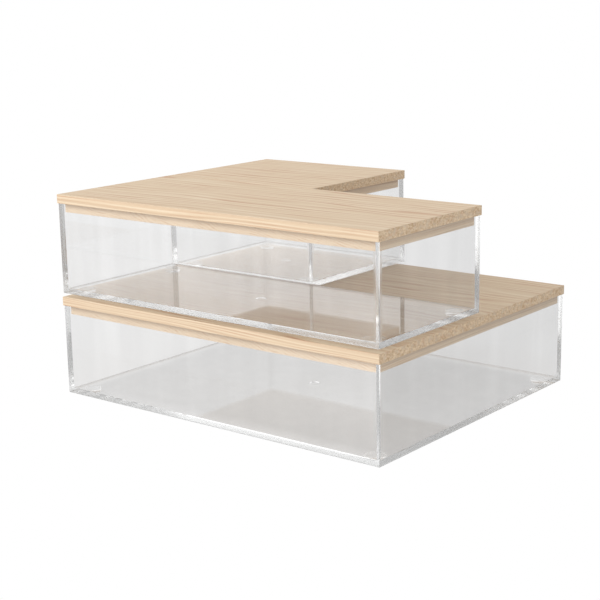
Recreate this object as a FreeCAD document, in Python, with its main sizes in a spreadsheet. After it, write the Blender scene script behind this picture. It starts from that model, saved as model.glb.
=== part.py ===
"""Stackable clear storage bins with wooden lids, standing in two tiers.

A large rectangular bin carries a medium bin along its front half and a small bin on its rear left
quarter, so the rear right quarter of the large lid stays free. Each bin is one clear plastic moulding, open
at the top, on four clear feet. Each lid is a top board that rests on the bin's rim, with a locating board
glued under it, grain crossed, that drops inside the walls.

Frame: origin on the standing surface under the middle of the set, +X to the right along the long front
side, +Y from the front to the back, +Z up. Lengths are millimetres.
"""
import FreeCAD, Part
import os
import Sketcher

# Driving dimensions: alias, value, meaning.
DIMENSIONS = [
    ("set_width", 190.5, "large lid, left to right: 7.5 inches"),
    ("set_depth", 158.75, "large lid, front to back: 6.25 inches"),
    ("tier_height", 50.8, "soles of a bin's feet to the top of its lid: 2 inches"),
    ("foot_height", 1.9, "sole of a foot to the bin's underside"),
    ("foot_radius", 4.0, "foot, a round bumper"),
    ("foot_inset", 9.0, "foot's axis in from the bin's outer faces"),
    ("foot_edge", 0.5, "rounding round a foot's sole"),
    ("top_board", 4.4, "thickness of a lid's top board"),
    ("locating_board", 4.4, "thickness of the board under it"),
    ("lid_overhang", 0.5, "top board past the bin's outer faces"),
    ("lid_clearance", 0.4, "locating board to the bin's inner faces"),
    ("lid_gap", 0.3, "between the lids of the two upper bins"),
    ("arris", 0.15, "bevel that breaks the boards' sharp edges"),
    ("wall", 2.4, "thickness of a bin's walls"),
    ("floor", 2.4, "thickness of a bin's floor"),
    ("outer_round", 0.12, "outside of a bin's corners and bottom edges"),
    ("inner_round", 0.15, "inside of a bin's corners and floor edges"),
    ("rim_round", 0.12, "both edges of a bin's rim"),
    ("gate_radius", 2.5, "dimple that the moulding gate leaves under a floor"),
    ("gate_depth", 0.4, "depth of that dimple"),
]

# Formulas of the sheet that several pieces share.
BIN_HEIGHT = "Sizes.tier_height - Sizes.foot_height - Sizes.top_board"
HALF_DEPTH = "(Sizes.set_depth - Sizes.lid_gap) / 2"
ROW_OFFSET = "(Sizes.set_depth + Sizes.lid_gap) / 4"

# Each bin with its lid: the lid's outline, its middle in plan, and the height that the feet stand at.
UNITS = {
    "large": {
        "width": "Sizes.set_width",
        "depth": "Sizes.set_depth",
        "x": "0",
        "y": "0",
        "base": "0",
    },
    "medium": {
        "width": "Sizes.set_width",
        "depth": HALF_DEPTH,
        "x": "0",
        "y": f"-{ROW_OFFSET}",
        "base": "Sizes.tier_height",
    },
    "small": {
        "width": "Sizes.set_width / 2",
        "depth": HALF_DEPTH,
        "x": "-Sizes.set_width / 4",
        "y": ROW_OFFSET,
        "base": "Sizes.tier_height",
    },
}

# A foot's corner of its bin: the signs of its X and Y from the middle.
CORNERS = {
    "front_left": ("-", "-"),
    "front_right": ("+", "-"),
    "rear_left": ("-", "+"),
    "rear_right": ("+", "+"),
}

TOLERANCE = 1e-4


def make_sheet(doc):
    """The sheet of driving dimensions, one alias to a row, with its meaning beside it."""
    sheet = doc.addObject("Spreadsheet::Sheet", "Sizes")
    for row, (alias, value, meaning) in enumerate(DIMENSIONS, start=1):
        sheet.set(f"A{row}", str(value))
        sheet.setAlias(f"A{row}", alias)
        sheet.set(f"B{row}", meaning)
    doc.recompute()
    return sheet


def new_body(doc, label, x, y, z):
    """An empty body whose place is worked out from the sheet."""
    body = doc.addObject("PartDesign::Body", label)
    body.Label = label
    for axis, formula in (("x", x), ("y", y), ("z", z)):
        body.setExpression(f"Placement.Base.{axis}", formula)
    return body


def new_sketch(body, purpose, height="0"):
    """A sketch on the body's own XY plane, lifted to a height."""
    sketch = body.newObject("Sketcher::SketchObject", f"{body.Name}_{purpose}")
    plane = next(feature for feature in body.Origin.OriginFeatures if feature.Role == "XY_Plane")
    sketch.AttachmentSupport = [(plane, "")]
    sketch.MapMode = "FlatFace"
    sketch.setExpression("AttachmentOffset.Base.z", height)
    return sketch


def bind(sketch, constraint, name, formula):
    """Adds a sizing constraint, names it and binds it to a formula of the sheet."""
    sketch.renameConstraint(sketch.addConstraint(constraint), name)
    sketch.setExpression(f"Constraints.{name}", formula)


def draw_rectangle(sketch, width, depth):
    """A rectangle centred on the sketch's origin."""
    corners = [FreeCAD.Vector(x, y, 0) for x, y in ((-10, -5), (10, -5), (10, 5), (-10, 5))]
    for start, end in zip(corners, corners[1:] + corners[:1]):
        sketch.addGeometry(Part.LineSegment(start, end), False)
    front, right, back, left = range(4)
    for side, following in ((front, right), (right, back), (back, left), (left, front)):
        sketch.addConstraint(Sketcher.Constraint("Coincident", side, 2, following, 1))
    for side in (front, back):
        sketch.addConstraint(Sketcher.Constraint("Horizontal", side))
    for side in (right, left):
        sketch.addConstraint(Sketcher.Constraint("Vertical", side))
    sketch.addConstraint(Sketcher.Constraint("Symmetric", front, 1, back, 1, -1, 1))
    bind(sketch, Sketcher.Constraint("DistanceX", front, 1, front, 2, 20), "width", width)
    bind(sketch, Sketcher.Constraint("DistanceY", right, 1, right, 2, 10), "depth", depth)


def draw_circle(sketch, radius):
    """A circle centred on the sketch's origin."""
    outline = Part.Circle(FreeCAD.Vector(0, 0, 0), FreeCAD.Vector(0, 0, 1), 3)
    circle = sketch.addGeometry(outline, False)
    sketch.addConstraint(Sketcher.Constraint("Coincident", circle, 3, -1, 1))
    bind(sketch, Sketcher.Constraint("Radius", circle, 3), "radius", radius)


def pad(body, sketch, length):
    """Grows the body's first solid upwards from the sketch."""
    feature = body.newObject("PartDesign::Pad", f"{sketch.Name}_pad")
    feature.Profile = sketch
    feature.setExpression("Length", length)
    body.Document.recompute()


def pocket(body, sketch, length, upwards=False):
    """Cuts the sketch's outline out of the body, and stops if nothing came out."""
    before = body.Shape.Volume
    feature = body.newObject("PartDesign::Pocket", f"{sketch.Name}_pocket")
    feature.Profile = sketch
    feature.Reversed = upwards
    feature.setExpression("Length", length)
    body.Document.recompute()
    if body.Shape.Volume > before - TOLERANCE:
        raise RuntimeError(f"{feature.Name} removed nothing")


def dress(body, kind, size_name, size, purpose, wanted):
    """Fillets or chamfers the edges of the body that wanted() picks by their bounding boxes."""
    base = body.Tip
    boxes = [edge.BoundBox for edge in base.Shape.Edges]
    names = [f"Edge{number}" for number, box in enumerate(boxes, start=1) if wanted(box)]
    if not names:
        raise RuntimeError(f"{body.Name}_{purpose} found no edges")
    feature = body.newObject(f"PartDesign::{kind}", f"{body.Name}_{purpose}")
    feature.Base = (base, names)
    feature.setExpression(size_name, size)
    body.Document.recompute()


def is_vertical(box):
    return box.ZLength > TOLERANCE > max(box.XLength, box.YLength)


def lies_at(box, height):
    return abs(box.ZMin - height) < TOLERANCE and abs(box.ZMax - height) < TOLERANCE


def starts_at(box, height):
    return abs(box.ZMin - height) < TOLERANCE


def make_bin(doc, sheet, size_name, unit):
    """One clear moulding: a floor and four walls, rounded, with the gate's dimple under the floor."""
    base = f"{unit['base']} + Sizes.foot_height"
    body = new_body(doc, f"{size_name}_bin", unit["x"], unit["y"], base)
    width = f"{unit['width']} - 2 * Sizes.lid_overhang"
    depth = f"{unit['depth']} - 2 * Sizes.lid_overhang"
    rim = sheet.tier_height - sheet.foot_height - sheet.top_board

    outline = new_sketch(body, "outline")
    draw_rectangle(outline, width, depth)
    pad(body, outline, BIN_HEIGHT)
    dress(body, "Fillet", "Radius", "Sizes.outer_round", "outer_rounds",
          lambda box: is_vertical(box) or lies_at(box, 0))

    hollow = new_sketch(body, "hollow", BIN_HEIGHT)
    draw_rectangle(hollow, f"{width} - 2 * Sizes.wall", f"{depth} - 2 * Sizes.wall")
    pocket(body, hollow, f"{BIN_HEIGHT} - Sizes.floor")
    dress(body, "Fillet", "Radius", "Sizes.inner_round", "inner_rounds",
          lambda box: starts_at(box, sheet.floor))
    dress(body, "Fillet", "Radius", "Sizes.rim_round", "rim_rounds",
          lambda box: lies_at(box, rim))

    gate = new_sketch(body, "gate")
    draw_circle(gate, "Sizes.gate_radius")
    pocket(body, gate, "Sizes.gate_depth", upwards=True)
    return body


def make_foot(doc, size_name, unit, corner):
    """One round clear bumper under a corner of the bin, its sole's edge rounded."""
    side, end = CORNERS[corner]
    x = f"{unit['x']} {side} ({unit['width']} / 2 - Sizes.lid_overhang - Sizes.foot_inset)"
    y = f"{unit['y']} {end} ({unit['depth']} / 2 - Sizes.lid_overhang - Sizes.foot_inset)"
    body = new_body(doc, f"{size_name}_bin_foot_{corner}", x, y, unit["base"])
    outline = new_sketch(body, "outline")
    draw_circle(outline, "Sizes.foot_radius")
    pad(body, outline, "Sizes.foot_height")
    dress(body, "Fillet", "Radius", "Sizes.foot_edge", "sole_round", lambda box: lies_at(box, 0))
    return body


def make_top_board(doc, size_name, unit):
    """The board that rests on the bin's rim, with every edge broken."""
    underside = f"{unit['base']} + Sizes.tier_height - Sizes.top_board"
    body = new_body(doc, f"{size_name}_lid_top_board", unit["x"], unit["y"], underside)
    outline = new_sketch(body, "outline")
    draw_rectangle(outline, unit["width"], unit["depth"])
    pad(body, outline, "Sizes.top_board")
    dress(body, "Chamfer", "Size", "Sizes.arris", "arrises", lambda box: True)
    return body


def make_locating_board(doc, size_name, unit):
    """The board glued under the top board, clear of the bin's inner faces; its glued edges stay sharp."""
    underside = f"{unit['base']} + Sizes.tier_height - Sizes.top_board - Sizes.locating_board"
    body = new_body(doc, f"{size_name}_lid_locating_board", unit["x"], unit["y"], underside)
    inset = "2 * (Sizes.lid_overhang + Sizes.wall + Sizes.lid_clearance)"
    outline = new_sketch(body, "outline")
    draw_rectangle(outline, f"{unit['width']} - {inset}", f"{unit['depth']} - {inset}")
    pad(body, outline, "Sizes.locating_board")
    dress(body, "Chamfer", "Size", "Sizes.arris", "arrises",
          lambda box: is_vertical(box) or lies_at(box, 0))
    return body


def check(doc, bodies):
    """Stops if any object failed, or if a body isn't one valid solid."""
    for item in doc.Objects:
        if {"Invalid", "Error"} & set(item.State):
            raise RuntimeError(f"{item.Name} failed: {item.State}")
    for body in bodies:
        shape = body.Shape
        if shape.isNull() or not shape.isValid() or len(shape.Solids) != 1:
            raise RuntimeError(f"{body.Label} is not one valid solid")


def main():
    doc = FreeCAD.newDocument("stacking_bins")
    sheet = make_sheet(doc)
    bodies = []
    for size_name, unit in UNITS.items():
        bodies.append(make_bin(doc, sheet, size_name, unit))
        for corner in CORNERS:
            bodies.append(make_foot(doc, size_name, unit, corner))
        bodies.append(make_top_board(doc, size_name, unit))
        bodies.append(make_locating_board(doc, size_name, unit))
    doc.recompute()
    check(doc, bodies)

    os.makedirs("parts", exist_ok=True)
    for body in bodies:
        body.Shape.exportStep(f"parts/{body.Label}.step")
        box = body.Shape.BoundBox
        print(f"{body.Label}: {body.Shape.Volume:.0f} mm3, "
              f"X {box.XMin:.2f} to {box.XMax:.2f}, Y {box.YMin:.2f} to {box.YMax:.2f}, "
              f"Z {box.ZMin:.2f} to {box.ZMax:.2f}")


main()
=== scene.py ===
"""Looks of the stackable storage bins: clear moulded plastic, silicone feet and pale wooden lids.

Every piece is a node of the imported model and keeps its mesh; this script gives the materials, the studio
and the camera. Lengths are metres in the model's frame: +X right along the long front, +Y back, +Z up.
"""
import math

import bpy
from mathutils import Matrix, Vector


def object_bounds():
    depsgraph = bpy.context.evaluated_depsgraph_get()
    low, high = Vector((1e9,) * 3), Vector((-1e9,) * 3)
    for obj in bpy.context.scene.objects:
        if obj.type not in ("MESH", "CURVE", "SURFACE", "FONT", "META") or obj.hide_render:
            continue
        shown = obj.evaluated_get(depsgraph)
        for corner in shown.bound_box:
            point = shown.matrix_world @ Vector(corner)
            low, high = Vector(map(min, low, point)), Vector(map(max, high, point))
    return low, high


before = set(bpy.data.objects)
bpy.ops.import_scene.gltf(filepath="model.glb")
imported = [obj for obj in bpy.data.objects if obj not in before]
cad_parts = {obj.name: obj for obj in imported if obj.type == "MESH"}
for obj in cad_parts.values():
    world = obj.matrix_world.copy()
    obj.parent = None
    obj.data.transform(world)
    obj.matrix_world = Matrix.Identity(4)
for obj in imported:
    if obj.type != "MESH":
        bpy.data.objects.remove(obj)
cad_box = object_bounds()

BIN_SIZES = ("large", "medium", "small")
CORNERS = ("front_left", "front_right", "rear_left", "rear_right")

MILLIMETRE = 0.001
ALONG_X = (1, 0, 0)
ALONG_Y = (0, 1, 0)
UP = (0, 0, 1)
DOWN = (0, 0, -1)
WHITE = (1, 1, 1, 1)


# ---------------------------------------------------------------------------------------------------------
# Node graphs


class Graph:
    """One material's or world's node tree, with short ways to add and link nodes."""

    def __init__(self, owner):
        owner.use_nodes = True
        self.tree = owner.node_tree
        self.tree.nodes.clear()

    def node(self, kind, inputs=None, **settings):
        """Adds a node; each input is set to a value or linked to another node's output."""
        made = self.tree.nodes.new(kind)
        for name, value in settings.items():
            setattr(made, name, value)
        for key, value in (inputs or {}).items():
            if isinstance(value, bpy.types.NodeSocket):
                self.tree.links.new(value, made.inputs[key])
            else:
                made.inputs[key].default_value = value
        return made

    def maths(self, operation, first, second=0.0):
        return self.node("ShaderNodeMath", {0: first, 1: second}, operation=operation).outputs[0]

    def plus(self, first, second):
        return self.maths("ADD", first, second)

    def times(self, first, second):
        return self.maths("MULTIPLY", first, second)

    def vectors(self, operation, first, second):
        return self.node("ShaderNodeVectorMath", {0: first, 1: second}, operation=operation).outputs

    def moved(self, vector, offset):
        return self.vectors("ADD", vector, offset)["Vector"]

    def scaled(self, vector, scale):
        return self.vectors("MULTIPLY", vector, scale)["Vector"]

    def part_along(self, vector, axis):
        """The vector's length along an axis."""
        return self.vectors("DOT_PRODUCT", vector, axis)["Value"]

    def blend(self, share, first, second):
        """Mixes two colours. A Mix node has its colours at inputs 6 and 7 and at output 2."""
        return self.node("ShaderNodeMix", {0: share, 6: first, 7: second}, data_type="RGBA").outputs[2]

    def noise(self, place, detail=2.0, roughness=0.5):
        """Noise of period about one in the given coordinates."""
        inputs = {"Vector": place, "Scale": 1.0, "Detail": detail, "Roughness": roughness}
        return self.node("ShaderNodeTexNoise", inputs).outputs[0]

    def spread(self, value, low, high, to_low=0.0, to_high=1.0):
        """Maps low..high to to_low..to_high, and holds it there beyond them."""
        made = self.node(
            "ShaderNodeMapRange",
            {"Value": value, "From Min": low, "From Max": high, "To Min": to_low, "To Max": to_high},
        )
        return made.outputs[0]

    def bump(self, height, depth, strength):
        made = self.node("ShaderNodeBump", {"Height": height, "Distance": depth, "Strength": strength})
        return made.outputs[0]

    def emission(self, strength):
        return self.node("ShaderNodeEmission", {"Strength": strength}).outputs[0]

    def mix(self, share, first, second):
        """Mixes two shaders."""
        return self.node("ShaderNodeMixShader", {0: share, 1: first, 2: second}).outputs[0]

    def finish(self, shader, volume=None, kind="ShaderNodeOutputMaterial"):
        ends = {"Surface": shader}
        if volume is not None:
            ends["Volume"] = volume
        self.node(kind, ends)


def new_graph(name):
    """A new material and the graph of its nodes."""
    material = bpy.data.materials.new(name)
    return material, Graph(material)


# ---------------------------------------------------------------------------------------------------------
# Wood

WOOD_IOR = 1.4
WOOD_SPECULAR = 0.3
WOOD_ROUGHNESS = (0.3, 0.7, 0.66, 0.54)  # from and to which level of the fibres' noise, and its ends
RELIEF_DEPTH = 0.12 * MILLIMETRE
RELIEF_STRENGTH = 0.6
FIBRE_RELIEF = 0.6
RING_RELIEF = 0.15

RING_PERIOD = 1.2 * MILLIMETRE  # growth rings, measured across them
RING_TILT = math.radians(14)  # rings' normal, away from the board's thickness
DRIFT_TURNS = 6.0  # how many rings the slow and the quick wandering move them by
WAVER_TURNS = 0.7
SIDE_RINGS = 0.6  # share of the rings that stand out as stripes on a board's long sides
SIDE_STRIPES = 0.5  # and how strongly

# Each noise has its periods in millimetres: along the grain, across it and through the board.
DRIFT = {"periods": (160, 22, 12), "detail": 2.0}
WAVER = {"periods": (50, 6, 4), "detail": 1.0}
RING_STRENGTH = {"periods": (45, 4.5, 1.6), "detail": 2.0}
CLOUDS = {"periods": (120, 12, 8), "detail": 2.0}
FIBRES = {"periods": (35, 0.6, 0.6), "detail": 3.0, "roughness": 0.6}
PORES = {"periods": (6, 0.22, 0.22), "detail": 1.0}
BLOTCHES = {"periods": (10, 1.3, 0.9), "detail": 3.0, "roughness": 0.6}
GREY_SPOTS = {"periods": (12, 2.4, 1.7), "detail": 2.0, "roughness": 0.6}
RED_SPOTS = {"periods": (20, 3.6, 1.3), "detail": 2.0, "roughness": 0.6}

# How a noise or a wave shows: from and to which of its levels, and how much at each.
LATE_WOOD_SHOWS = (0.35, 0.95)
EARLY_WOOD_SHOWS = (-0.2, -0.9)
SIDE_WOOD_SHOWS = (0.0, 0.9)
STREAKS_SHOW = (0.45, 0.66, 0.08, 1.0)
CREAM_SHOWS = (0.30, 0.60, 0.25, 0.8)
CLOUDS_SHOW = (0.35, 0.65, 0.0, 0.15)
FIBRES_SHOW = (0.55, 0.2, 0.0, 0.30)
PORES_SHOW = (0.36, 0.2, 0.0, 0.4)
BLOTCHES_SHOW = (0.36, 0.62, 0.0, 1.0)
GREY_SPOTS_SHOW = (0.48, 0.7, 0.0, 0.7)
RED_SPOTS_SHOW = (0.55, 0.72, 0.0, 0.5)
END_RINGS_SHOW = 0.2
# how far the painted-light underside tone shows on faces turned down
UNDERSIDE_PAINTED_LIGHT_SHOWS = 0.8
FACING = (0.6, 0.8)  # cosines between which a surface goes from not facing a way to facing it

TOP_TONES = {
    "base": (0.72, 0.565, 0.395, 1),
    "cream": (0.82, 0.69, 0.52, 1),
    "streak": (0.585, 0.36, 0.235, 1),
    "underside": (0.72, 0.565, 0.395, 1),
}
# The locating boards' wood is a lighter copy of the top boards': painted light standing in for the key
# light that reaches their fronts through the clear walls. Its underside tone is painted light from below.
LOCATING_TONES = {
    "base": (0.88, 0.715, 0.53, 1),
    "cream": (0.94, 0.80, 0.64, 1),
    "streak": (0.66, 0.42, 0.255, 1),
    "underside": (0.96, 0.91, 0.86, 1),
}
SIDE_TONE = (0.60, 0.44, 0.30, 1)
# Painted shade: a locating board's top edge is darkened towards this tone where the top board's overhang
# shades it.
PAINTED_SHADE_FADES = 0.35  # share of a board's thickness below which the painted shade along its top edge has gone
PAINTED_SHADE_TONE = (0.42, 0.33, 0.26, 1)
END_GRAIN_LIGHT = (0.765, 0.605, 0.425, 1)
END_GRAIN_DARK = (0.515, 0.355, 0.215, 1)
END_GRAIN_GREY = (0.62, 0.52, 0.41, 1)
END_GRAIN_RED = (0.60, 0.375, 0.245, 1)


class Board:
    """Distances in a wooden board along its grain, across it and through it, and the rings that follow.

    grain and across are the axes along and across the grain, and offset moves the pattern so that two
    boards aren't cut from the same place.
    """

    def __init__(self, graph, grain, across, offset):
        self.graph = graph
        self.across = across
        self.coordinates = graph.node("ShaderNodeTexCoord").outputs
        place = graph.moved(self.coordinates["Object"], offset)
        self.distances = [graph.part_along(place, axis) for axis in (grain, across, UP)]
        self.turns = self.ring_turns()
        self.late_wood = graph.spread(self.ring_wave(), *LATE_WOOD_SHOWS)
        self.early_wood = graph.spread(self.ring_wave(), *EARLY_WOOD_SHOWS)
        self.side_wood = graph.spread(self.ring_wave(SIDE_RINGS), *SIDE_WOOD_SHOWS)
        self.fibres = self.noise(**FIBRES)

    def noise(self, periods, detail, roughness=0.5):
        shares = {}
        for number, (distance, period) in enumerate(zip(self.distances, periods)):
            shares[number] = self.graph.maths("DIVIDE", distance, period * MILLIMETRE)
        place = self.graph.node("ShaderNodeCombineXYZ", shares).outputs[0]
        return self.graph.noise(place, detail, roughness)

    def ring_turns(self):
        """How many rings lie between a fixed surface and each place in the board."""
        graph = self.graph
        sideways = graph.times(self.distances[1], math.sin(RING_TILT))
        upwards = graph.times(self.distances[2], math.cos(RING_TILT))
        turns = graph.maths("DIVIDE", graph.plus(sideways, upwards), RING_PERIOD)
        turns = graph.plus(turns, graph.times(self.noise(**DRIFT), DRIFT_TURNS))
        return graph.plus(turns, graph.times(self.noise(**WAVER), WAVER_TURNS))

    def ring_wave(self, share=1.0):
        """A wave that follows the rings, or this share of them."""
        return self.graph.maths("SINE", self.graph.times(self.turns, 2 * math.pi * share))

    def faces(self, way, most):
        """0 to most as the surface turns to face a way."""
        turned = self.graph.part_along(self.coordinates["Normal"], way)
        return self.graph.spread(turned, *FACING, 0.0, most)

    def faces_either(self, axis, most):
        """0 to most as the surface turns to face either way along an axis."""
        turned = self.graph.maths("ABSOLUTE", self.graph.part_along(self.coordinates["Normal"], axis))
        return self.graph.spread(turned, *FACING, 0.0, most)

    def height(self):
        """0 at the board's underside and 1 at its top."""
        return self.graph.node("ShaderNodeSeparateXYZ", {0: self.coordinates["Generated"]}).outputs[2]


def long_grain(graph, board, tones, figure):
    """Colour of the faces along the grain; figure scales the rings' contrast."""
    ring_strength = board.noise(**RING_STRENGTH)
    streak = graph.times(board.late_wood, graph.times(graph.spread(ring_strength, *STREAKS_SHOW), figure))
    cream = graph.times(board.early_wood, graph.times(graph.spread(ring_strength, *CREAM_SHOWS), figure))
    stripes = graph.times(board.side_wood, board.faces_either(board.across, SIDE_STRIPES * figure))
    colour = graph.blend(graph.spread(board.noise(**CLOUDS), *CLOUDS_SHOW), tones["base"], tones["cream"])
    colour = graph.blend(cream, colour, tones["cream"])
    colour = graph.blend(streak, colour, tones["streak"])
    colour = graph.blend(stripes, colour, SIDE_TONE)
    colour = graph.blend(graph.spread(board.fibres, *FIBRES_SHOW), colour, tones["streak"])
    return graph.blend(graph.spread(board.noise(**PORES), *PORES_SHOW), colour, tones["streak"])


def end_grain(graph, board):
    """Mottled colour of the sawn ends."""
    blotches = graph.spread(board.noise(**BLOTCHES), *BLOTCHES_SHOW)
    colour = graph.blend(blotches, END_GRAIN_DARK, END_GRAIN_LIGHT)
    colour = graph.blend(graph.spread(board.noise(**GREY_SPOTS), *GREY_SPOTS_SHOW), colour, END_GRAIN_GREY)
    colour = graph.blend(graph.spread(board.noise(**RED_SPOTS), *RED_SPOTS_SHOW), colour, END_GRAIN_RED)
    return graph.blend(graph.times(board.late_wood, END_RINGS_SHOW), colour, END_GRAIN_DARK)


def wood_material(name, grain, across, offset, tones, figure, end_show, overhang_painted_shade):
    """Pale plain-sawn wood, solid through the board.

    end_show says how much of the mottled end grain the sawn ends show; the last argument sets how strong
    the painted shade along the board's top edge is, the shade under the overhang of the board above.
    """
    material, graph = new_graph(name)
    board = Board(graph, grain, across, offset)
    at_end = board.faces_either(grain, end_show)
    colour = graph.blend(at_end, long_grain(graph, board, tones, figure), end_grain(graph, board))
    # Painted light: faces turned down take the underside tone, which on the locating boards is lighter and
    # greyer to stand in for light from below; on the top boards it equals the base.
    colour = graph.blend(board.faces(DOWN, UNDERSIDE_PAINTED_LIGHT_SHOWS), colour, tones["underside"])
    # Painted shade along the board's top edge, under the overhang of the board above.
    painted_shade_share = graph.spread(board.height(), PAINTED_SHADE_FADES, 1.0, 0.0, overhang_painted_shade)
    colour = graph.blend(painted_shade_share, colour, PAINTED_SHADE_TONE)
    relief = graph.plus(graph.times(board.fibres, FIBRE_RELIEF), graph.times(board.late_wood, RING_RELIEF))
    shader = graph.node("ShaderNodeBsdfPrincipled", {
        "Base Color": colour,
        "Roughness": graph.spread(board.fibres, *WOOD_ROUGHNESS),
        "IOR": WOOD_IOR,
        "Specular IOR Level": WOOD_SPECULAR,
        "Normal": graph.bump(relief, RELIEF_DEPTH, RELIEF_STRENGTH),
    })
    graph.finish(shader.outputs[0])
    return material


# ---------------------------------------------------------------------------------------------------------
# Clear plastic and silicone

PLASTIC_IOR = 1.49
PLASTIC_SHADOW = (0.925, 0.925, 0.925, 1)  # what a surface lets through of the lamps' light
ABSORBED = (0.0, 0.02, 0.02, 1)
ABSORPTION = 1.2
EDGE_REACH = 2.5 * MILLIMETRE  # a wall's thickness and a hair
EDGE_ROUGHNESS = 0.2
NEAR_TWO_SIDES = 1.5  # more than one side and no more than two
FLOW_SCALE = (110.0, 110.0, 12.0)  # upright streaks that the melt's flow leaves in the walls
FLOW_SHOWS = (0.45, 0.68)
FLOW_DULL = (0.965, 0.965, 0.965, 1)
SCUFF_SCALE = (160.0, 160.0, 160.0)
SCUFF_NOISE = {"detail": 3.0, "roughness": 0.7}
SCUFFS_SHOW = (0.62, 0.85, 0.0, 0.02)

SILICONE_IOR = 1.41
SILICONE_SHADOW = (0.85, 0.86, 0.86, 1)
SILICONE_TONES = ((0.97, 0.975, 0.975, 1), (0.99, 0.99, 0.99, 1))
SILICONE_ROUGHNESS = (0.3, 0.7, 0.03, 0.08)
MILK_SCALE = (300.0, 300.0, 300.0)
GRAIN_SCALE = (1800.0, 1800.0, 1800.0)
GRAIN_DEPTH = 0.03 * MILLIMETRE
GRAIN_STRENGTH = 0.3
FOOT_GAP = 0.04 * MILLIMETRE


def through_for_light(graph, shader, tint):
    """The shader, but lamps' rays and diffuse light pass straight through it with a tint."""
    path = graph.node("ShaderNodeLightPath")
    passes = graph.maths("MAXIMUM", path.outputs["Is Shadow Ray"], path.outputs["Is Diffuse Ray"])
    clear = graph.node("ShaderNodeBsdfTransparent", {"Color": tint})
    return graph.mix(passes, shader, clear.outputs[0])


def near_edges(graph, generated, dimensions):
    """1 on the outside of a bin, along its upright corners and round its floor's edge, and 0 elsewhere."""
    shares = graph.node("ShaderNodeSeparateXYZ", {0: generated}).outputs
    to_left_or_right = graph.maths("MINIMUM", shares[0], graph.maths("SUBTRACT", 1.0, shares[0]))
    to_front_or_back = graph.maths("MINIMUM", shares[1], graph.maths("SUBTRACT", 1.0, shares[1]))
    sides_near = 0.0
    for share, length in zip((to_left_or_right, to_front_or_back, shares[2]), dimensions):
        near = graph.maths("LESS_THAN", graph.times(share, length), EDGE_REACH)
        sides_near = graph.plus(sides_near, near)
    return graph.maths("GREATER_THAN", sides_near, NEAR_TWO_SIDES)


def clear_plastic(name, dimensions):
    """A bin's polished clear plastic, with faint flow streaks and finely matt edges."""
    material, graph = new_graph(name)
    coordinates = graph.node("ShaderNodeTexCoord")
    place = coordinates.outputs["Object"]
    edge = near_edges(graph, coordinates.outputs["Generated"], dimensions)
    scuffs = graph.noise(graph.scaled(place, SCUFF_SCALE), **SCUFF_NOISE)
    flow = graph.noise(graph.scaled(place, FLOW_SCALE))
    shader = graph.node("ShaderNodeBsdfPrincipled", {
        "Base Color": graph.blend(graph.spread(flow, *FLOW_SHOWS), FLOW_DULL, WHITE),
        "Roughness": graph.plus(graph.spread(scuffs, *SCUFFS_SHOW), graph.times(edge, EDGE_ROUGHNESS)),
        "IOR": PLASTIC_IOR,
        "Transmission Weight": 1.0,
    })
    haze = graph.node("ShaderNodeVolumeAbsorption", {"Color": ABSORBED, "Density": ABSORPTION})
    graph.finish(through_for_light(graph, shader.outputs[0], PLASTIC_SHADOW), haze.outputs[0])
    return material


def clear_silicone():
    """Slightly milky clear silicone, softly matt."""
    material, graph = new_graph("clear_silicone")
    place = graph.node("ShaderNodeTexCoord").outputs["Object"]
    grain = graph.noise(graph.scaled(place, GRAIN_SCALE))
    milk = graph.noise(graph.scaled(place, MILK_SCALE))
    shader = graph.node("ShaderNodeBsdfPrincipled", {
        "Base Color": graph.blend(milk, *SILICONE_TONES),
        "Roughness": graph.spread(milk, *SILICONE_ROUGHNESS),
        "IOR": SILICONE_IOR,
        "Transmission Weight": 1.0,
        "Normal": graph.bump(grain, GRAIN_DEPTH, GRAIN_STRENGTH),
    })
    graph.finish(through_for_light(graph, shader.outputs[0], SILICONE_SHADOW))
    return material


def part_from_bin(node):
    """Draws a foot's surface in by a hair, so that it doesn't coincide with the bin's and the table's."""
    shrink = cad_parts[node].modifiers.new("hairline_gap", "DISPLACE")
    shrink.strength = -FOOT_GAP
    shrink.mid_level = 0.0


def paint(node, material):
    """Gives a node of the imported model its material, in place of those that it has."""
    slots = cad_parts[node].data.materials
    slots.clear()
    slots.append(material)


def paint_everything():
    top_wood = wood_material(
        "top_board_wood", grain=ALONG_X, across=ALONG_Y, offset=(0.31, 0.17, 0.05),
        tones=TOP_TONES, figure=1.0, end_show=1.0, overhang_painted_shade=0.0,
    )
    # The locating boards get painted shade along their top edge, under the top boards' overhang.
    locating_wood = wood_material(
        "locating_board_wood", grain=ALONG_Y, across=ALONG_X, offset=(0.64, 0.42, 0.23),
        tones=LOCATING_TONES, figure=0.6, end_show=0.0, overhang_painted_shade=0.5,
    )
    silicone = clear_silicone()
    for size in BIN_SIZES:
        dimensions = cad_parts[f"{size}_bin"].dimensions
        paint(f"{size}_bin", clear_plastic(f"clear_plastic_{size}", dimensions))
        paint(f"{size}_lid_top_board", top_wood)
        paint(f"{size}_lid_locating_board", locating_wood)
        for corner in CORNERS:
            paint(f"{size}_bin_foot_{corner}", silicone)
            part_from_bin(f"{size}_bin_foot_{corner}")


# ---------------------------------------------------------------------------------------------------------
# Studio

FLOOR_REACH = 4.0
FLOOR_DROP = 0.1 * MILLIMETRE
TABLE = (0.35, 0.35, 0.35, 1)
TABLE_GLOW = 0.55
TABLE_GLOW_PAINTED_SHADE_UNDER_BINS = 0.37  # its lower glow where the bins stand: painted shade under the bins
BINS_FADE = 4 * MILLIMETRE  # the one glow turns into the other this far inside and outside their outline

# The walls mirror the table in front of the bins and beside their right ends with a brightness of its own.
FRONT_FADES_IN = (0.06, 0.14)  # distances from the model's middle to the front
RIGHT_FADES_IN = (0.08, 0.16)  # and to the right
TABLE_IN_FRONT = (-0.10, 0.03, 0.78, 1.9)  # two places along X, and how bright the front is at each
TABLE_AT_RIGHT = 0.38

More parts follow.
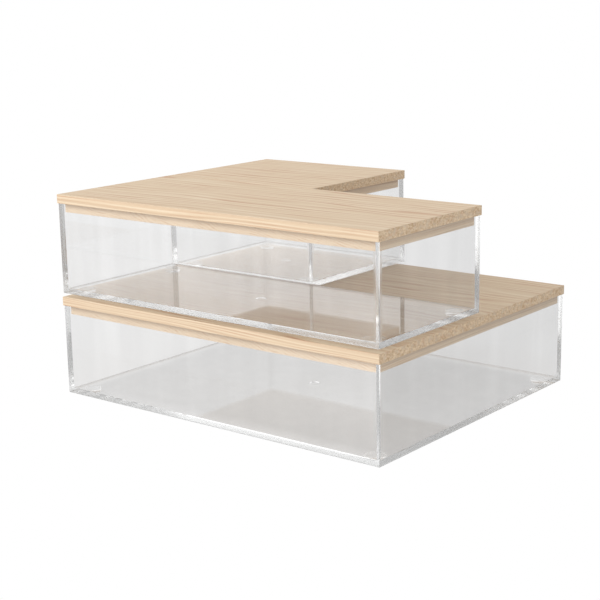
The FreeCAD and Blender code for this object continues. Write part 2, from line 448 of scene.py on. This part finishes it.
ROOM = 0.81
ROOM_ON_MATT = (0.70, 0.70, 0.70, 1)  # as matt surfaces such as the wood get it

# The ends of the walls and floors show light that has been led along inside the plastic. Each pair is the
# number of turns that it has made and how bright the room, or the table, is for it.
ROOM_BY_TURNS = (
    (0, ROOM), (7, ROOM), (9, 1.05), (12, 1.1), (14, 1.6),
    (18, 1.6), (22, 0.7), (37, 0.58), (41, 1.2), (46, 1.5),
)
TABLE_BY_TURNS = (
    (0, ROOM), (7, ROOM), (9, 1.05), (13, 1.0), (16, 0.7), (37, 0.55), (41, 1.2), (46, 1.5),
)
FEW_TURNS = 8  # up to these, the plastic mirrors the table in front and at the right

LAMPS = (
    {"name": "key", "place": (-0.75, -1.6, 0.85), "width": 1.2, "height": 0.9, "watts": 15},
    {"name": "side", "place": (-1.5, -0.3, 1.1), "width": 1.0, "height": 1.0, "watts": 8},
)


def light_by_turns(graph, path, steps):
    """Brightness for a ray, by the number of its turns."""
    most = steps[-1][0]
    ramp = graph.node("ShaderNodeValToRGB", {0: graph.maths("DIVIDE", path.outputs["Ray Depth"], most)})
    stops = ramp.color_ramp.elements
    stops.remove(stops[1])
    for number, (turns, brightness) in enumerate(steps):
        stop = stops[0] if number == 0 else stops.new(turns / most)
        stop.color = (brightness, brightness, brightness, 1)
    return ramp.outputs[0]


def make_world():
    """An even soft room light, and plain white where the camera looks straight at it."""
    world = bpy.data.worlds.new("studio")
    bpy.context.scene.world = world
    graph = Graph(world)
    path = graph.node("ShaderNodeLightPath")
    seen = light_by_turns(graph, path, ROOM_BY_TURNS)
    colour = graph.blend(path.outputs["Is Diffuse Ray"], seen, ROOM_ON_MATT)
    colour = graph.blend(path.outputs["Is Camera Ray"], colour, WHITE)
    background = graph.node("ShaderNodeBackground", {"Color": colour})
    graph.finish(background.outputs[0], kind="ShaderNodeOutputWorld")


def glowing_table(graph, right, back):
    """A matt table that glows a little, and less under the bins as painted shade; right and back are
    places on it.
    """
    half_width, half_depth = cad_box[1][0], cad_box[1][1]
    beside = graph.maths("SUBTRACT", graph.maths("ABSOLUTE", right), half_width)
    behind = graph.maths("SUBTRACT", graph.maths("ABSOLUTE", back), half_depth)
    outside = graph.maths("MAXIMUM", beside, behind)
    # Painted shade: the glow drops inside the bins' outline.
    glow = graph.spread(outside, -BINS_FADE, BINS_FADE, TABLE_GLOW_PAINTED_SHADE_UNDER_BINS, TABLE_GLOW)
    matt = graph.node("ShaderNodeBsdfDiffuse", {"Color": TABLE}).outputs[0]
    return graph.node("ShaderNodeAddShader", {0: matt, 1: graph.emission(glow)}).outputs[0]


def make_floor():
    """The table: matt surfaces get its glow, plastic mirrors its bright front, the camera sees white."""
    bpy.ops.mesh.primitive_plane_add(size=2 * FLOOR_REACH, location=(0, 0, -FLOOR_DROP))
    floor = bpy.context.object
    floor.name = "studio_floor"
    material, graph = new_graph("studio_floor")
    path = graph.node("ShaderNodeLightPath")
    place = graph.node("ShaderNodeTexCoord").outputs["Object"]
    right = graph.part_along(place, ALONG_X)
    back = graph.part_along(place, ALONG_Y)
    table = glowing_table(graph, right, back)

    at_right = graph.spread(right, *RIGHT_FADES_IN)
    in_front = graph.spread(graph.times(back, -1.0), *FRONT_FADES_IN)
    mirrored = graph.mix(at_right, table, graph.emission(TABLE_AT_RIGHT))
    mirrored = graph.mix(in_front, mirrored, graph.emission(graph.spread(right, *TABLE_IN_FRONT)))
    led_far = graph.maths("GREATER_THAN", path.outputs["Ray Depth"], FEW_TURNS)
    mirrored = graph.mix(led_far, mirrored, graph.emission(light_by_turns(graph, path, TABLE_BY_TURNS)))
    shader = graph.mix(path.outputs["Is Diffuse Ray"], mirrored, table)
    shader = graph.mix(path.outputs["Is Camera Ray"], shader, graph.emission(1.0))
    graph.finish(shader)
    floor.data.materials.append(material)


def add_lamp(name, place, width, height, watts):
    """A soft rectangular lamp that faces the middle of the model."""
    lamp = bpy.data.lights.new(name, "AREA")
    lamp.shape = "RECTANGLE"
    lamp.size = width
    lamp.size_y = height
    lamp.energy = watts
    holder = bpy.data.objects.new(name, lamp)
    holder.visible_camera = False
    holder.visible_glossy = False
    holder.visible_transmission = False
    middle = (Vector(cad_box[0]) + Vector(cad_box[1])) / 2
    holder.location = place
    holder.rotation_euler = (middle - Vector(place)).to_track_quat("-Z", "Y").to_euler()
    bpy.context.scene.collection.objects.link(holder)


def make_lights():
    for settings in LAMPS:
        add_lamp(**settings)


# ---------------------------------------------------------------------------------------------------------
# Camera

CAMERA_PLACE = (0.4053, -0.5173, 0.1972)
CAMERA_AZIMUTH = math.radians(38.70)  # from +Y towards -X
CAMERA_DROP = math.radians(12.93)  # below the horizon
CAMERA_ROLL = math.radians(-1.06)
CAMERA_LENS = 81.8
CAMERA_SENSOR = 36.0
CAMERA_NEAR = 0.01


def make_camera():
    camera = bpy.data.cameras.new("camera")
    camera.lens = CAMERA_LENS
    camera.sensor_width = CAMERA_SENSOR
    camera.clip_start = CAMERA_NEAR
    holder = bpy.data.objects.new("camera", camera)
    turn = (Matrix.Rotation(CAMERA_AZIMUTH, 4, "Z")
            @ Matrix.Rotation(math.pi / 2 - CAMERA_DROP, 4, "X")
            @ Matrix.Rotation(CAMERA_ROLL, 4, "Z"))
    holder.matrix_world = Matrix.Translation(CAMERA_PLACE) @ turn
    bpy.context.scene.collection.objects.link(holder)
    bpy.context.scene.camera = holder


# ---------------------------------------------------------------------------------------------------------
# How light is followed

TURNS_IN_PLASTIC = 128  # light that is led along inside the walls turns many times
TURNS_BEFORE_CHANCE = 64  # rays aren't given up by chance before this many
SURFACES_CROSSED = 64  # by light that passes straight through
SURFACES_BEFORE_CHANCE = 32
TURNS_ON_MATT = 5
BRIGHTEST_TURNED = 4.0  # light that comes in turns is held down to this


def set_view():
    scene = bpy.context.scene
    scene.view_settings.view_transform = "Standard"
    scene.cycles.use_denoising = True
    scene.cycles.max_bounces = TURNS_IN_PLASTIC
    scene.cycles.transmission_bounces = TURNS_IN_PLASTIC
    scene.cycles.glossy_bounces = TURNS_IN_PLASTIC
    scene.cycles.diffuse_bounces = TURNS_ON_MATT
    scene.cycles.transparent_max_bounces = SURFACES_CROSSED
    scene.cycles.min_light_bounces = TURNS_BEFORE_CHANCE
    scene.cycles.min_transparent_bounces = SURFACES_BEFORE_CHANCE
    scene.cycles.sample_clamp_indirect = BRIGHTEST_TURNED


paint_everything()
make_world()
make_floor()
make_lights()
make_camera()
set_view()
